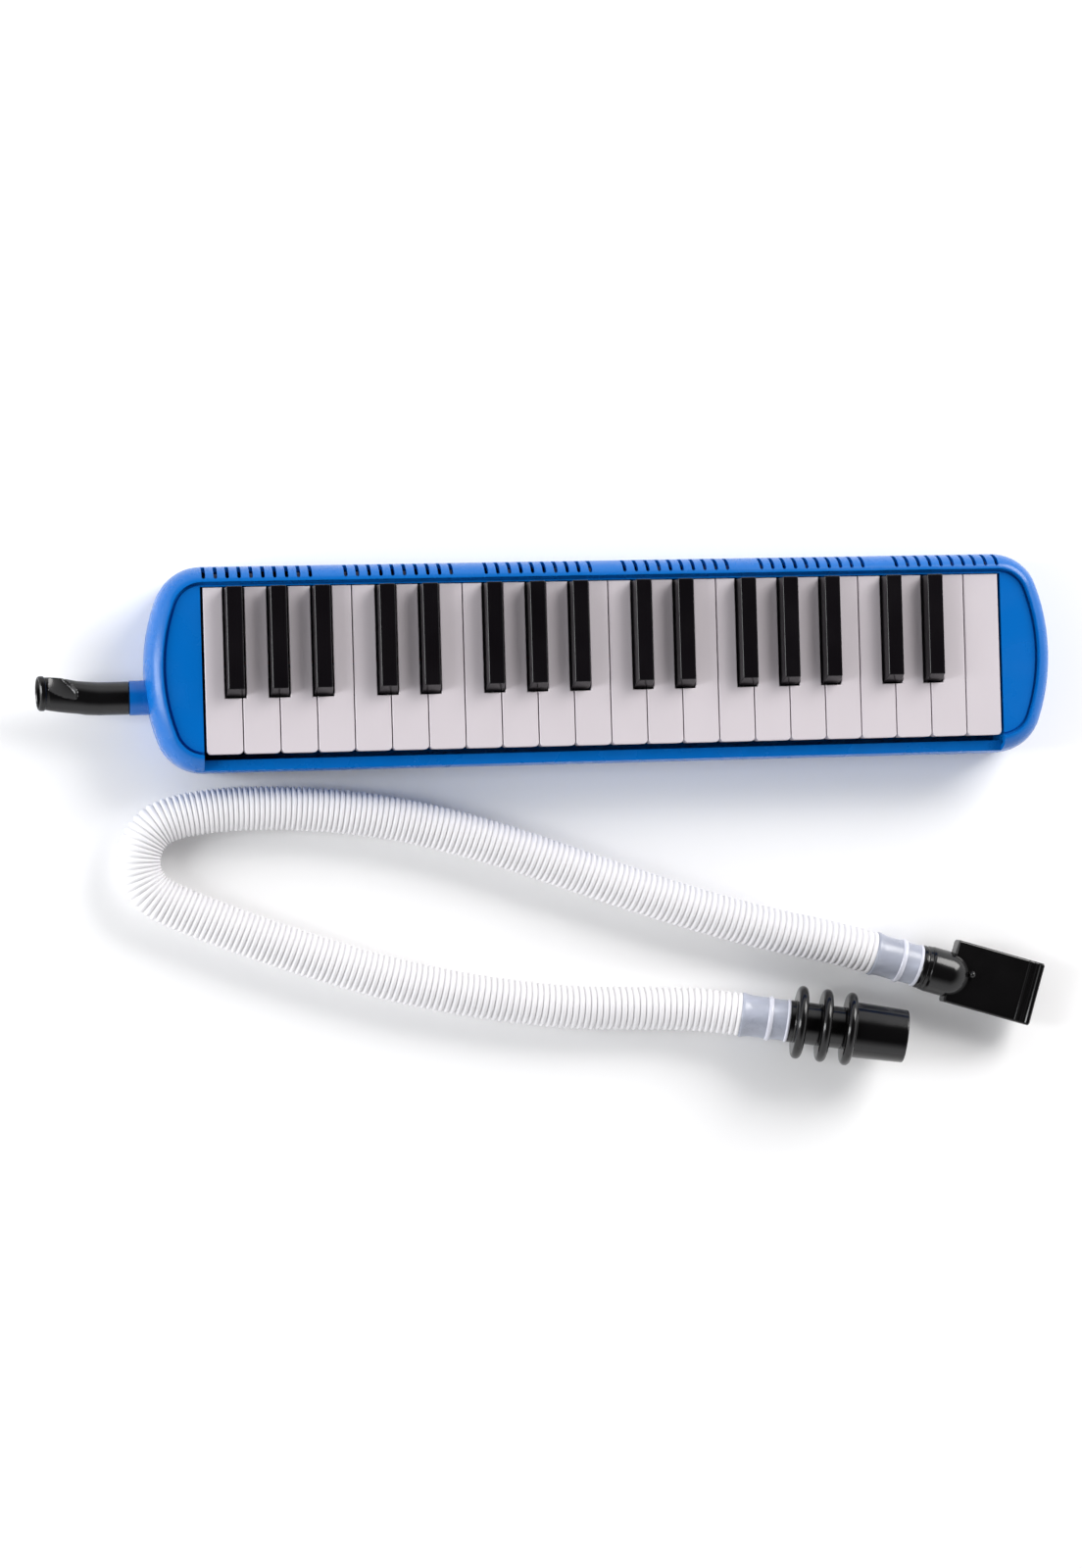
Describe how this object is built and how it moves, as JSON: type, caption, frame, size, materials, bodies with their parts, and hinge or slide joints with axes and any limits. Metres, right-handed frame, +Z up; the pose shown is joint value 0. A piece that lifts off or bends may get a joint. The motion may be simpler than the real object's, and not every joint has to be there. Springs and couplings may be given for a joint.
{
  "type": "melodica",
  "caption": "Blue keyboard wind instrument with a short beak mouthpiece and a separate corrugated blow hose ending in a flat mouthpiece.",
  "frame": {"origin": "on the plane of the rubber feet, below the middle of the case", "axes": "+X along the case away from the neck, towards the high notes; -Y towards the player; +Z up"},
  "size_m": [0.4765, 0.24, 0.0435],
  "materials": {
    "case_blue": "glossy moulded plastic",
    "key_white": "semi-gloss moulded plastic",
    "key_black": "glossy moulded plastic",
    "black_plastic": "glossy moulded plastic",
    "hose_white": "soft corrugated polyethylene",
    "cuff_grey": "translucent soft vinyl",
    "steel": "plated",
    "brass": "rolled sheet",
    "inner_plastic": "moulded ABS",
    "gasket_rubber": "foam rubber",
    "felt": "pressed felt",
    "strap_webbing": "woven webbing",
    "button_plastic": "moulded plastic"
  },
  "bodies": {
    "case": {"bottom_cover": "case_blue", "chest_gasket": "gasket_rubber", "drain_spring": "steel", "hand_strap": "strap_webbing", "key_bed": "inner_plastic", "key_springs": "steel", "mouth_socket": "case_blue", "pivot_rod": "steel", "reed_block": "inner_plastic", "reed_plates": "brass", "reeds": "brass", "rubber_feet": "gasket_rubber", "screws": "steel", "stop_felts": "felt", "strap_anchors": "steel", "top_cover": "case_blue", "wind_chest": "inner_plastic"},
    "mouthpiece": {"short_mouthpiece": "black_plastic"},
    "drain": {"drain_button": "button_plastic"},
    "hose": {"hose_tube": "hose_white", "hose_cuffs": "cuff_grey", "hose_coupling": "black_plastic", "hose_mouthpiece": "black_plastic"},
    "white_key_01": {"white_key_01": "key_white"},
    "white_key_02": {"white_key_02": "key_white"},
    "white_key_03": {"white_key_03": "key_white"},
    "white_key_04": {"white_key_04": "key_white"},
    "white_key_05": {"white_key_05": "key_white"},
    "white_key_06": {"white_key_06": "key_white"},
    "white_key_07": {"white_key_07": "key_white"},
    "white_key_08": {"white_key_08": "key_white"},
    "white_key_09": {"white_key_09": "key_white"},
    "white_key_10": {"white_key_10": "key_white"},
    "white_key_11": {"white_key_11": "key_white"},
    "white_key_12": {"white_key_12": "key_white"},
    "white_key_13": {"white_key_13": "key_white"},
    "white_key_14": {"white_key_14": "key_white"},
    "white_key_15": {"white_key_15": "key_white"},
    "white_key_16": {"white_key_16": "key_white"},
    "white_key_17": {"white_key_17": "key_white"},
    "white_key_18": {"white_key_18": "key_white"},
    "white_key_19": {"white_key_19": "key_white"},
    "white_key_20": {"white_key_20": "key_white"},
    "white_key_21": {"white_key_21": "key_white"},
    "white_key_22": {"white_key_22": "key_white"},
    "black_key_01": {"black_key_01": "key_black"},
    "black_key_02": {"black_key_02": "key_black"},
    "black_key_03": {"black_key_03": "key_black"},
    "black_key_04": {"black_key_04": "key_black"},
    "black_key_05": {"black_key_05": "key_black"},
    "black_key_06": {"black_key_06": "key_black"},
    "black_key_07": {"black_key_07": "key_black"},
    "black_key_08": {"black_key_08": "key_black"},
    "black_key_09": {"black_key_09": "key_black"},
    "black_key_10": {"black_key_10": "key_black"},
    "black_key_11": {"black_key_11": "key_black"},
    "black_key_12": {"black_key_12": "key_black"},
    "black_key_13": {"black_key_13": "key_black"},
    "black_key_14": {"black_key_14": "key_black"},
    "black_key_15": {"black_key_15": "key_black"}
  },
  "joints": [
    {"name": "mouthpiece_pull", "type": "slide", "parent": "case", "child": "mouthpiece", "axis": [-1, 0, 0], "range_m": [0, 0.04]},
    {"name": "drain_press", "type": "slide", "parent": "case", "child": "drain", "axis": [0, 0, 1], "range_m": [0, 0.002], "stiffness_N_per_m": 400, "springref_m": -0.0015, "deforming": ["drain_spring"]},
    {"name": "hose_lift", "type": "slide", "parent": "case", "child": "hose", "axis": [0, 0, 1], "range_m": [0, 0.12]},
    {"name": "white_key_01_press", "type": "hinge", "parent": "case", "child": "white_key_01", "pos_m": [0, 0.02, 0.026], "axis": [1, 0, 0], "range_deg": [0, 4], "stiffness_Nm_per_rad": 0.1, "springref_deg": -20.05, "deforming": ["key_springs"]},
    {"name": "white_key_02_press", "type": "hinge", "parent": "case", "child": "white_key_02", "pos_m": [0, 0.02, 0.026], "axis": [1, 0, 0], "range_deg": [0, 4], "stiffness_Nm_per_rad": 0.1, "springref_deg": -20.05, "deforming": ["key_springs"]},
    {"name": "white_key_03_press", "type": "hinge", "parent": "case", "child": "white_key_03", "pos_m": [0, 0.02, 0.026], "axis": [1, 0, 0], "range_deg": [0, 4], "stiffness_Nm_per_rad": 0.1, "springref_deg": -20.05, "deforming": ["key_springs"]},
    {"name": "white_key_04_press", "type": "hinge", "parent": "case", "child": "white_key_04", "pos_m": [0, 0.02, 0.026], "axis": [1, 0, 0], "range_deg": [0, 4], "stiffness_Nm_per_rad": 0.1, "springref_deg": -20.05, "deforming": ["key_springs"]},
    {"name": "white_key_05_press", "type": "hinge", "parent": "case", "child": "white_key_05", "pos_m": [0, 0.02, 0.026], "axis": [1, 0, 0], "range_deg": [0, 4], "stiffness_Nm_per_rad": 0.1, "springref_deg": -20.05, "deforming": ["key_springs"]},
    {"name": "white_key_06_press", "type": "hinge", "parent": "case", "child": "white_key_06", "pos_m": [0, 0.02, 0.026], "axis": [1, 0, 0], "range_deg": [0, 4], "stiffness_Nm_per_rad": 0.1, "springref_deg": -20.05, "deforming": ["key_springs"]},
    {"name": "white_key_07_press", "type": "hinge", "parent": "case", "child": "white_key_07", "pos_m": [0, 0.02, 0.026], "axis": [1, 0, 0], "range_deg": [0, 4], "stiffness_Nm_per_rad": 0.1, "springref_deg": -20.05, "deforming": ["key_springs"]},
    {"name": "white_key_08_press", "type": "hinge", "parent": "case", "child": "white_key_08", "pos_m": [0, 0.02, 0.026], "axis": [1, 0, 0], "range_deg": [0, 4], "stiffness_Nm_per_rad": 0.1, "springref_deg": -20.05, "deforming": ["key_springs"]},
    {"name": "white_key_09_press", "type": "hinge", "parent": "case", "child": "white_key_09", "pos_m": [0, 0.02, 0.026], "axis": [1, 0, 0], "range_deg": [0, 4], "stiffness_Nm_per_rad": 0.1, "springref_deg": -20.05, "deforming": ["key_springs"]},
    {"name": "white_key_10_press", "type": "hinge", "parent": "case", "child": "white_key_10", "pos_m": [0, 0.02, 0.026], "axis": [1, 0, 0], "range_deg": [0, 4], "stiffness_Nm_per_rad": 0.1, "springref_deg": -20.05, "deforming": ["key_springs"]},
    {"name": "white_key_11_press", "type": "hinge", "parent": "case", "child": "white_key_11", "pos_m": [0, 0.02, 0.026], "axis": [1, 0, 0], "range_deg": [0, 4], "stiffness_Nm_per_rad": 0.1, "springref_deg": -20.05, "deforming": ["key_springs"]},
    {"name": "white_key_12_press", "type": "hinge", "parent": "case", "child": "white_key_12", "pos_m": [0, 0.02, 0.026], "axis": [1, 0, 0], "range_deg": [0, 4], "stiffness_Nm_per_rad": 0.1, "springref_deg": -20.05, "deforming": ["key_springs"]},
    {"name": "white_key_13_press", "type": "hinge", "parent": "case", "child": "white_key_13", "pos_m": [0, 0.02, 0.026], "axis": [1, 0, 0], "range_deg": [0, 4], "stiffness_Nm_per_rad": 0.1, "springref_deg": -20.05, "deforming": ["key_springs"]},
    {"name": "white_key_14_press", "type": "hinge", "parent": "case", "child": "white_key_14", "pos_m": [0, 0.02, 0.026], "axis": [1, 0, 0], "range_deg": [0, 4], "stiffness_Nm_per_rad": 0.1, "springref_deg": -20.05, "deforming": ["key_springs"]},
    {"name": "white_key_15_press", "type": "hinge", "parent": "case", "child": "white_key_15", "pos_m": [0, 0.02, 0.026], "axis": [1, 0, 0], "range_deg": [0, 4], "stiffness_Nm_per_rad": 0.1, "springref_deg": -20.05, "deforming": ["key_springs"]},
    {"name": "white_key_16_press", "type": "hinge", "parent": "case", "child": "white_key_16", "pos_m": [0, 0.02, 0.026], "axis": [1, 0, 0], "range_deg": [0, 4], "stiffness_Nm_per_rad": 0.1, "springref_deg": -20.05, "deforming": ["key_springs"]},
    {"name": "white_key_17_press", "type": "hinge", "parent": "case", "child": "white_key_17", "pos_m": [0, 0.02, 0.026], "axis": [1, 0, 0], "range_deg": [0, 4], "stiffness_Nm_per_rad": 0.1, "springref_deg": -20.05, "deforming": ["key_springs"]},
    {"name": "white_key_18_press", "type": "hinge", "parent": "case", "child": "white_key_18", "pos_m": [0, 0.02, 0.026], "axis": [1, 0, 0], "range_deg": [0, 4], "stiffness_Nm_per_rad": 0.1, "springref_deg": -20.05, "deforming": ["key_springs"]},
    {"name": "white_key_19_press", "type": "hinge", "parent": "case", "child": "white_key_19", "pos_m": [0, 0.02, 0.026], "axis": [1, 0, 0], "range_deg": [0, 4], "stiffness_Nm_per_rad": 0.1, "springref_deg": -20.05, "deforming": ["key_springs"]},
    {"name": "white_key_20_press", "type": "hinge", "parent": "case", "child": "white_key_20", "pos_m": [0, 0.02, 0.026], "axis": [1, 0, 0], "range_deg": [0, 4], "stiffness_Nm_per_rad": 0.1, "springref_deg": -20.05, "deforming": ["key_springs"]},
    {"name": "white_key_21_press", "type": "hinge", "parent": "case", "child": "white_key_21", "pos_m": [0, 0.02, 0.026], "axis": [1, 0, 0], "range_deg": [0, 4], "stiffness_Nm_per_rad": 0.1, "springref_deg": -20.05, "deforming": ["key_springs"]},
    {"name": "white_key_22_press", "type": "hinge", "parent": "case", "child": "white_key_22", "pos_m": [0, 0.02, 0.026], "axis": [1, 0, 0], "range_deg": [0, 4], "stiffness_Nm_per_rad": 0.1, "springref_deg": -20.05, "deforming": ["key_springs"]},
    {"name": "black_key_01_press", "type": "hinge", "parent": "case", "child": "black_key_01", "pos_m": [0, 0.02, 0.026], "axis": [1, 0, 0], "range_deg": [0, 4.5], "stiffness_Nm_per_rad": 0.1, "springref_deg": -20.05, "deforming": ["key_springs"]},
    {"name": "black_key_02_press", "type": "hinge", "parent": "case", "child": "black_key_02", "pos_m": [0, 0.02, 0.026], "axis": [1, 0, 0], "range_deg": [0, 4.5], "stiffness_Nm_per_rad": 0.1, "springref_deg": -20.05, "deforming": ["key_springs"]},
    {"name": "black_key_03_press", "type": "hinge", "parent": "case", "child": "black_key_03", "pos_m": [0, 0.02, 0.026], "axis": [1, 0, 0], "range_deg": [0, 4.5], "stiffness_Nm_per_rad": 0.1, "springref_deg": -20.05, "deforming": ["key_springs"]},
    {"name": "black_key_04_press", "type": "hinge", "parent": "case", "child": "black_key_04", "pos_m": [0, 0.02, 0.026], "axis": [1, 0, 0], "range_deg": [0, 4.5], "stiffness_Nm_per_rad": 0.1, "springref_deg": -20.05, "deforming": ["key_springs"]},
    {"name": "black_key_05_press", "type": "hinge", "parent": "case", "child": "black_key_05", "pos_m": [0, 0.02, 0.026], "axis": [1, 0, 0], "range_deg": [0, 4.5], "stiffness_Nm_per_rad": 0.1, "springref_deg": -20.05, "deforming": ["key_springs"]},
    {"name": "black_key_06_press", "type": "hinge", "parent": "case", "child": "black_key_06", "pos_m": [0, 0.02, 0.026], "axis": [1, 0, 0], "range_deg": [0, 4.5], "stiffness_Nm_per_rad": 0.1, "springref_deg": -20.05, "deforming": ["key_springs"]},
    {"name": "black_key_07_press", "type": "hinge", "parent": "case", "child": "black_key_07", "pos_m": [0, 0.02, 0.026], "axis": [1, 0, 0], "range_deg": [0, 4.5], "stiffness_Nm_per_rad": 0.1, "springref_deg": -20.05, "deforming": ["key_springs"]},
    {"name": "black_key_08_press", "type": "hinge", "parent": "case", "child": "black_key_08", "pos_m": [0, 0.02, 0.026], "axis": [1, 0, 0], "range_deg": [0, 4.5], "stiffness_Nm_per_rad": 0.1, "springref_deg": -20.05, "deforming": ["key_springs"]},
    {"name": "black_key_09_press", "type": "hinge", "parent": "case", "child": "black_key_09", "pos_m": [0, 0.02, 0.026], "axis": [1, 0, 0], "range_deg": [0, 4.5], "stiffness_Nm_per_rad": 0.1, "springref_deg": -20.05, "deforming": ["key_springs"]},
    {"name": "black_key_10_press", "type": "hinge", "parent": "case", "child": "black_key_10", "pos_m": [0, 0.02, 0.026], "axis": [1, 0, 0], "range_deg": [0, 4.5], "stiffness_Nm_per_rad": 0.1, "springref_deg": -20.05, "deforming": ["key_springs"]},
    {"name": "black_key_11_press", "type": "hinge", "parent": "case", "child": "black_key_11", "pos_m": [0, 0.02, 0.026], "axis": [1, 0, 0], "range_deg": [0, 4.5], "stiffness_Nm_per_rad": 0.1, "springref_deg": -20.05, "deforming": ["key_springs"]},
    {"name": "black_key_12_press", "type": "hinge", "parent": "case", "child": "black_key_12", "pos_m": [0, 0.02, 0.026], "axis": [1, 0, 0], "range_deg": [0, 4.5], "stiffness_Nm_per_rad": 0.1, "springref_deg": -20.05, "deforming": ["key_springs"]},
    {"name": "black_key_13_press", "type": "hinge", "parent": "case", "child": "black_key_13", "pos_m": [0, 0.02, 0.026], "axis": [1, 0, 0], "range_deg": [0, 4.5], "stiffness_Nm_per_rad": 0.1, "springref_deg": -20.05, "deforming": ["key_springs"]},
    {"name": "black_key_14_press", "type": "hinge", "parent": "case", "child": "black_key_14", "pos_m": [0, 0.02, 0.026], "axis": [1, 0, 0], "range_deg": [0, 4.5], "stiffness_Nm_per_rad": 0.1, "springref_deg": -20.05, "deforming": ["key_springs"]},
    {"name": "black_key_15_press", "type": "hinge", "parent": "case", "child": "black_key_15", "pos_m": [0, 0.02, 0.026], "axis": [1, 0, 0], "range_deg": [0, 4.5], "stiffness_Nm_per_rad": 0.1, "springref_deg": -20.05, "deforming": ["key_springs"]}
  ]
}
